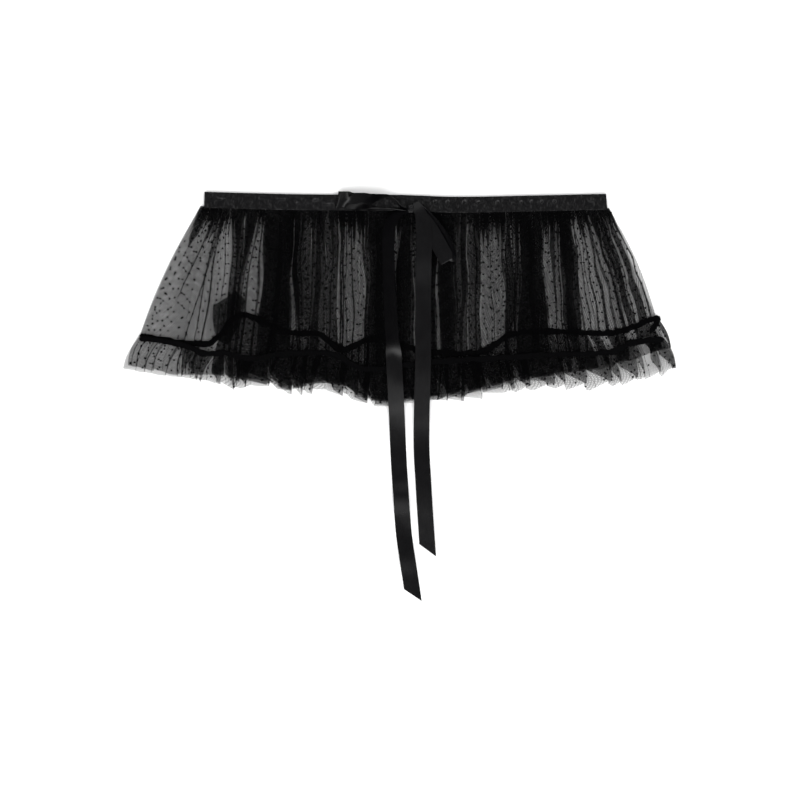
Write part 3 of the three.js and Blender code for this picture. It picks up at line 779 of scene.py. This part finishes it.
front_dots = scatter_dots("front_dots", front_points, front_cloth, 21)
back_dots = scatter_dots("back_dots", back_points, back_cloth, 22)
front_ruffle_dots = scatter_dots("front_ruffle_dots", front_ruffle_points, front_ruffle_cloth, 23)
back_ruffle_dots = scatter_dots("back_ruffle_dots", back_ruffle_points, back_ruffle_cloth, 24)

# %% [markdown]
# ## Velvet bands
# A narrow band of velvet covers each ruffle seam. It is a thin flattened tube carried along the seam. The
# gathers under it push it up and down and from side to side a little, which gives its crumbled edge.

# %% Carry a flat section along the seams
BAND_WIDTH, BAND_THICKNESS = 5.3, 0.85
BAND_CORNERS, BAND_STATIONS = 12, 260
OVER_FRONT, OVER_BACK = 2.3, 2.2


def sweep(path, width, thickness):
    """A closed tube of flattened round section along a path. Each section lies across the path, level with
    the table, and the path's first and last points close it."""
    path = np.asarray(path, float)
    ahead = unit(np.gradient(path[:, :2], axis=0))
    across = np.stack([-ahead[:, 1], ahead[:, 0]], axis=1)
    angle = np.arange(BAND_CORNERS) * 2 * np.pi / BAND_CORNERS
    side = np.sign(np.cos(angle)) * np.abs(np.cos(angle)) ** 0.55
    up = np.sign(np.sin(angle)) * np.abs(np.sin(angle)) ** 0.8
    ends = np.ones(len(path))
    ends[[0, -1]] = 0.25
    half = (np.broadcast_to(width, len(path)) / 2 * ends)[:, None] * side
    points = np.empty((len(path), BAND_CORNERS, 3))
    points[..., :2] = path[:, None, :2] + half[..., None] * across[:, None, :]
    points[..., 2] = path[:, None, 2] + thickness / 2 * up * ends[:, None]
    return points


def tube_faces(stations, corners):
    """Faces round a tube of stations, each with the same number of corners, and a cap on each end."""
    i, j = np.meshgrid(np.arange(stations - 1), np.arange(corners), indexing="ij")
    a, b = (i * corners + j).ravel(), (i * corners + (j + 1) % corners).ravel()
    sides = np.stack([a, a + corners, b + corners, b], axis=1)
    first = np.arange(corners)
    return [*sides.tolist(), first.tolist(), (first + (stations - 1) * corners)[::-1].tolist()]


def band_piece(name, xs, ys, zs, seed):
    """A velvet band along a route, crumbled by the gathers under it."""
    random = np.random.default_rng(seed)
    count = len(xs)
    noises = (random.normal(0, 1, count + 2) for _ in range(3))
    rough, lift, broad = (np.convolve(noise, np.ones(3) / 3, mode="valid") for noise in noises)
    path = np.stack([xs, ys + 0.6 * rough, zs + 0.3 * lift], axis=1)
    width = BAND_WIDTH + 1.0 * broad
    points = sweep(path, width, BAND_THICKNESS)
    cloth = flat_places(run_of(path), np.linspace(0, 2 * BAND_WIDTH, points.shape[1]))
    return add_piece(name, points, tube_faces(*points.shape[:2]), cloth, velvet)


front_x = np.linspace(*FRONT_SEAM_ENDS, BAND_STATIONS)
front_inside = np.minimum(front_x - front_x[0], front_x[-1] - front_x)
front_z = front_base(front_inside, 1) + OVER_FRONT
front_band = band_piece("front_band", front_x, front_seam(front_x), front_z, 31)
back_x = np.linspace(*BACK_SEAM_ENDS, BAND_STATIONS)
BAND_TURN = [
    # at the right side the back band turns in with the skirt's fold: x, y, height
    (244, 75.5, 2.2),
    (245.6, 73.8, 2.6),
    (243.6, 70, 3),
    (240.6, 65.2, 3.2),
    (238, 61.3, 3.2),
]
band_turn = spread_rows(BAND_TURN, 12)[1:]
back_z = np.full(BAND_STATIONS, OVER_BACK)
back_path = np.vstack([np.stack([back_x, back_seam(back_x), back_z], axis=1), band_turn])
back_band = band_piece("back_band", *back_path.T, 32)
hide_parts("band_front")
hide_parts("band_back")

# %% [markdown]
# ## The waistband
# The waistband is the same satin ribbon, folded over the gathered top of the net. Its upper face puckers
# where the stitching pulls: a row of small dents, close together beside the bow.

# %% Ribbon with puckers for the waist
PUCKERS = [
    # place along, place across from the middle, width, depth
    (-168, 1, 9, 0.25),
    (-140, -2, 7, 0.3),
    (-112, 2, 6, 0.3),
    (-96, -1, 5, 0.4),
    (-80, 2, 5, 0.4),
    (-66, -2, 5, 0.45),
    (32.6, 2.5, 1.6, 1.25),
    (44.5, 2.5, 1.6, 1.25),
    (60.3, 2.5, 1.65, 1.25),
    (74, 2, 1.4, 1.1),
    (92, 2, 1.6, 1.25),
    (114.5, 1.5, 1.4, 1.1),
    (124, 2, 1.4, 1.1),
    (134, 1.5, 1.4, 1.1),
    (146, 1.5, 1.4, 1.1),
    (162, -1, 6, 0.3),
    (182, 1, 4, 0.3),
]
WRINKLES = [(3.1, 0.05), (3.7, 0.06), (4.4, 0.07), (5.3, 0.09), (6.4, 0.1), (7.9, 0.13), (9.7, 0.15)]
WRINKLED = 0.5
WAIST_COLUMNS, SQUARENESS, DENT_REACH, SLANT = 900, 900, 1.55, 2.0


def split_sharp(piece, degrees):
    """Keeps each flat face's own shading where two faces meet at a sharper edge than this."""
    sharp = piece.modifiers.new("sharp edges", "EDGE_SPLIT")
    sharp.split_angle = np.radians(degrees)


def waistband_sheet(name, low, thickness, puckered):
    """A closed flattened ribbon along the waist, its top face dented by the puckers."""
    x = np.linspace(WAIST_LEFT, WAIST_RIGHT, WAIST_COLUMNS)
    rim = np.array([0.5, 0.4985, 0.495, 0.47])
    top = np.concatenate([rim, np.linspace(0.44, -0.44, 21), -rim[::-1]])
    across = np.concatenate([top, np.linspace(-0.48, 0.48, 5)])
    is_top = np.arange(len(across)) < len(top)
    edge = np.sqrt(np.clip(1 - (2 * np.abs(across)) ** SQUARENESS, 0, 1))
    half = thickness / 2
    height = np.where(is_top, low + half + half * edge, low + half - half * edge)
    slant = SLANT * (x - mix(WAIST_LEFT, WAIST_RIGHT, 0.3)) / (WAIST_RIGHT - WAIST_LEFT)
    grid_x = x[:, None] + slant[:, None] * (0.5 - across)
    grid_y = waist_top(x)[:, None] - RIBBON_WIDTH * (0.5 - across)
    grid_z = np.broadcast_to(height, grid_x.shape).copy()
    if puckered:
        for place, aside, width, depth in PUCKERS:
            far = ((x[:, None] - place - 0.35 * RIBBON_WIDTH * across) / width) ** 2
            far = far + ((RIBBON_WIDTH * across - aside) / DENT_REACH) ** 2
            grid_z -= depth * np.clip(1.1 - np.sqrt(far + 0.01), 0, 1) * is_top * edge
        random = np.random.default_rng(41)
        aside = RIBBON_WIDTH * across[None, :]
        for length, rise in WRINKLES:
            turn, phase = random.uniform(0, np.pi), random.uniform(0, 2 * np.pi)
            number = 2 * np.pi / length
            wrinkle = np.sin(number * (np.cos(turn) * x[:, None] + np.sin(turn) * aside) + phase)
            grid_z += WRINKLED * rise * wrinkle * is_top * edge
    cloth = flat_places(x - x[0], np.linspace(0, 2 * RIBBON_WIDTH, len(across)))
    points = np.stack([grid_x, grid_y, grid_z], axis=2)
    piece = add_piece(name, points, tube_faces(*points.shape[:2]), cloth, satin)
    split_sharp(piece, 26)
    return piece


back_waistband = waistband_sheet("back_waistband", 0.0, 1.5, False)
front_waistband = waistband_sheet("front_waistband", 1.9, 1.3, True)
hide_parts("waistband_back")
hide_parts("waistband_front")

# %% [markdown]
# ## The bow
# A ribbon is a flat strip that bends and rolls, so its route is a table of places and rolls. Each tail
# rises and falls a little on its way past the hem, so that the light slides along the satin.

# %% Lay a ribbon along a route
RIBBON_STATIONS, RIBBON_COLUMNS = 300, 9
RIBBON_WALL = 0.35


def ribbon_piece(name, rows, node):
    """A ribbon from rows of x, y, z, roll in degrees, slant and width. Slant is how much farther its left
    side reaches than its right, 0 in a short row, and width a share, below 1 where the knot pinches it. The
    side vector keeps its side where the ribbon turns back under itself."""
    count = RIBBON_STATIONS
    route = spread_rows([(*row, 0, 1)[:6] for row in rows], count)
    ahead = unit(np.gradient(route[:, :3], axis=0))
    level = unit(np.stack([-ahead[:, 1], ahead[:, 0], np.zeros(count)], axis=1))
    same_side = np.sign(np.einsum("ij,ij->i", level[1:], level[:-1]))
    level *= np.append(1, np.cumprod(same_side))[:, None]
    above = np.cross(ahead, level)
    above *= np.where(above[:, 2:] < 0, -1, 1)
    roll = np.radians(route[:, 3])[:, None]
    across = level * np.cos(roll) + above * np.sin(roll)
    place = np.linspace(0.5, -0.5, RIBBON_COLUMNS)
    width = RIBBON_WIDTH * route[:, 5, None, None]
    points = route[:, None, :3] + width * place[None, :, None] * across[:, None, :]
    heading = np.stack([level[:, 1], -level[:, 0], np.zeros(count)], axis=1)
    points += (route[:, 4:5] * place)[..., None] * heading[:, None, :]
    run = run_of(route[:, :3])
    cloth = flat_places(run, RIBBON_WIDTH * (0.5 - place))
    piece = add_piece(name, points, grid_faces(count, RIBBON_COLUMNS), cloth, satin)
    wall = piece.modifiers.new("wall", "SOLIDIFY")
    wall.thickness = RIBBON_WALL * MM
    wall.offset = 0
    wall.use_rim = True
    split_sharp(piece, 50)
    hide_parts(node)
    print(name, "is", round(run[-1]), "mm long")
    return piece, run[-1]


LEFT_TAIL = [
    # x, y, height, roll, and where they matter slant and width
    (8, 176, 7, 34, 0, 0.4),
    (3, 175, 7.6, 34, 0, 0.5),
    (-2.6, 171.6, 8.2, 35, 0, 0.7),
    (-7.4, 165.6, 8.6, 35, 0, 0.85),
    (-10.2, 157, 8.8, 35, 0, 0.9),
    (-10.7, 146, 9, 34, 0, 0.92),
    (-10.2, 120, 8.9, 34, 0, 0.94),
    (-9, 92, 8.9, 34, 0, 0.96),
    (-7.4, 64, 8.8, 33),
    (-6.2, 50, 8.6, 30),
    (-5.4, 38, 8, 4),
    (-4.8, 26, 7.8, 1),
    (-4, 12, 7.2, 5),
    (-3.2, -4, 5.4, 5),
    (-2.4, -20, 2.8, 4),
    (-1.7, -38, 1, 1),
    (-0.8, -58, 0.5, 0),
    (0.4, -78, 0.8, 0),
    (1.5, -94, 3, 3),
    (2.8, -114, 1.1, 4),
    (4.4, -132, 0.4, 0),
    (7.2, -152, 1.5, 0),
    (10, -170, 0.5, 0, 3, 1),
    (12.7, -188.6, 0.3, 0, 13.5, 1),
]
RIGHT_TAIL = [
    (15.6, 184, 8.4, 0, 0, 0.35),
    (18.4, 178, 10.4, 0, 0, 0.6),
    (21, 170.5, 11, 0, 0, 0.82),
    (22.6, 162, 11.2, 0, 0, 0.96),
    (23.3, 150, 11.3, 0),
    (22.9, 130, 10.6, 0),
    (22.6, 104, 8.4, 0),
    (22.5, 80, 8, 0),
    (22.5, 44, 8, 0),
    (22.2, 24, 7.4, 0),
    (21.6, 4, 5.6, 0),
    (21.1, -18, 3.3, 0),
    (20.9, -38, 1.2, 0),
    (21.2, -56, 0.8, 0),
    (22.6, -80, 1.2, 2),
    (24, -104, 1.6, 6),
    (25.2, -122, 1.4, 6),
    (26.8, -146, 0.9, 2, 12.5, 1),
]
left_tail, left_tail_length = ribbon_piece("left_tail", LEFT_TAIL, "bow_tail_left")
right_tail, right_tail_length = ribbon_piece("right_tail", RIGHT_TAIL, "bow_tail_right")

# %% [markdown]
# Each loop is one length of ribbon, out from the knot on top, round its end and back underneath. The left
# one lies along the waistband and rolls on its edge at the knot. The right one droops over the skirt.

# %% Lay the two loops
LEFT_LOOP = [
    # x, y, height, roll, and where they matter slant and width
    (8, 176.5, 7, -55, 0, 0.35),
    (1.4, 180, 7.6, -74, 0, 0.4),
    (-4.3, 185.9, 7.4, -74, 0, 0.42),
    (-10.5, 189.8, 7.6, -72, 0, 0.5),
    (-17.6, 189.4, 7.8, -64, 0, 0.62),
    (-23.3, 188.3, 8, -54, 0, 0.78),
    (-28.5, 187.1, 8, -45, 0, 0.94),
    (-34, 186.7, 7.9, -38, 1, 1),
    (-41, 186.6, 7.6, -36, 2.4, 1),
    (-46.5, 186.8, 7.2, -33, 3.6, 1),
    (-50.5, 187, 6.9, -6, 4.4, 1),
    (-55.5, 187, 6.7, 0, 4.6, 1),
    (-57.6, 187, 6.4, 0, 4.6, 1),
    (-58.6, 187, 5.2, 0, 4.6, 1),
    (-57.4, 187, 4.2, 0, 4.6, 1),
    (-50, 186, 4, 0, 3, 1),
    (-40, 183.6, 4.4, 15, 1, 0.9),
    (-30, 180.8, 6, 50, 0, 0.6),
    (-20, 179.2, 6.4, 75, 0, 0.4),
    (-8, 178.6, 6.4, 75, 0, 0.4),
    (6, 177.5, 6.4, 60, 0, 0.4),
]
RIGHT_LOOP = [
    (14, 182, 7.6, 0, 0, 0.4),
    (20, 173, 9.6, 0, 0, 0.7),
    (27, 162, 10.1, 0, 0, 0.95),
    (33, 151.5, 10.2, 0),
    (39, 140.8, 10.2, 0),
    (44, 131.8, 10.2, 0),
    (45.4, 129.3, 10.2, 0),
    (46, 128.3, 10.15, 0),
    (46.2, 127.9, 9.6, 0),
    (46.1, 128.2, 9.1, 4),
    (46.6, 129.8, 8.8, 20),
    (47.6, 133, 8.5, 34, 0, 0.9),
    (47.2, 141, 8.6, 35, 0, 0.7),
    (43, 151, 8.8, 36, 0, 0.6),
    (34.6, 163, 8.8, 36, 0, 0.6),
    (20, 178.5, 7.8, 36, 0, 0.5),
]
left_loop, left_loop_length = ribbon_piece("left_loop", LEFT_LOOP, "bow_loop_left")
right_loop, right_loop_length = ribbon_piece("right_loop", RIGHT_LOOP, "bow_loop_right")

# %% [markdown]
# The knot is a short wrap of ribbon pulled tight: a small pillow with creases that run round it.

# %% Tie the knot
KNOT_MIDDLE = (10.8, 177.8, 7.6)
KNOT_HALF = (2.6, 3.8, 0.9)


def knot_piece():
    """A rounded box, as sin and cos of two angles to a power below one, with creases across it."""
    around = np.linspace(0, 2 * np.pi, 49)[:-1]
    up = np.linspace(0.02, np.pi - 0.02, 25)
    a, b = np.meshgrid(around, up, indexing="ij")

    def soft(value):
        return np.sign(value) * np.abs(value) ** 0.45

    crease = 1 + 0.05 * np.sin(6 * a + 3 * np.cos(b)) + 0.03 * np.sin(11 * b + 2 * a)
    level = soft(np.sin(b))
    box = np.stack([soft(np.cos(a)) * level, soft(np.sin(a)) * level, soft(np.cos(b))], axis=2)
    points = np.array(KNOT_MIDDLE) + box * np.array(KNOT_HALF) * crease[..., None]
    corners, rings = points.shape[:2]
    points = points.transpose(1, 0, 2)
    cloth = np.stack([a * 5, b * 5], axis=2).transpose(1, 0, 2)
    piece = add_piece("knot", points, tube_faces(rings, corners), cloth, satin)
    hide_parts("bow_knot")
    return piece


knot = knot_piece()

# %% [markdown]


# %% [markdown]
# ## Table, light and camera
# The sky is a wide bright ring, as from lamps all round a dark camera stand: satin that lies flat mirrors
# the dim middle and stays dark, and a slope of ten degrees or more catches the ring. Light from it also
# falls softly through the net, which needs many see-through steps.

# %% Table
TABLE_REACH = 6.0
table_mesh = bpy.data.meshes.new("table")
corners = [(x * TABLE_REACH, y * TABLE_REACH, 0) for x, y in ((-1, -1), (1, -1), (1, 1), (-1, 1))]
table_mesh.from_pydata(corners, [], [(0, 1, 2, 3)])
table = bpy.data.objects.new("table", table_mesh)
bpy.context.collection.objects.link(table)
table_mesh.materials.append(new_material("table_white", (0.95, 0.95, 0.95), 1.0, 0.0)[0])
table.location.z = -0.0001


# %% Sky
SKY_MIDDLE, SKY_RING, SKY_EDGE = 0.12, 4.4, 0.1
RING_BEGINS, RING_ENDS = (0.46, 0.7), (0.84, 0.96)
BEHIND, FAR_LEFT = 0.35, 0.1
world = bpy.data.worlds.new("sky")
bpy.context.scene.world = world
world.use_nodes = True
sky = world.node_tree
where = sky.nodes.new("ShaderNodeTexCoord")
split = sky.nodes.new("ShaderNodeSeparateXYZ")
sky.links.new(where.outputs["Generated"], split.inputs[0])
# straight above, Z is 1, and at the horizon it is 0
rising = smooth_step(sky, split.outputs["Z"], *RING_BEGINS, SKY_EDGE, SKY_RING)
falling = smooth_step(sky, split.outputs["Z"], *RING_ENDS, 1.0, SKY_MIDDLE / SKY_RING)
far_side = smooth_step(sky, split.outputs["Y"], 0.0, 0.45, 1.0, BEHIND)
left_side = smooth_step(sky, split.outputs["X"], -0.8, -0.5, FAR_LEFT, 1.0)
ring = math_node(sky, "MULTIPLY", rising, falling)
ring = math_node(sky, "MULTIPLY", math_node(sky, "MULTIPLY", ring, far_side), left_side)
sky.links.new(ring, sky.nodes["Background"].inputs["Strength"])
sky.nodes["Background"].inputs["Color"].default_value = (1, 1, 1, 1)

# %% Camera
MM_PER_PIXEL, IMAGE_WIDTH, SENSOR = 0.95, 800, 36
IMAGE_MIDDLE = (0.5 * MM, -3.3 * MM)
CAMERA_HEIGHT = 3.0
camera_data = bpy.data.cameras.new("camera")
camera_data.sensor_width = SENSOR
camera_data.lens = SENSOR * CAMERA_HEIGHT / (IMAGE_WIDTH * MM_PER_PIXEL * MM)
camera = bpy.data.objects.new("camera", camera_data)
camera.location = (*IMAGE_MIDDLE, CAMERA_HEIGHT)
bpy.context.collection.objects.link(camera)
scene = bpy.context.scene
scene.camera = camera
scene.view_settings.view_transform = "Standard"
scene.cycles.transparent_max_bounces = 64
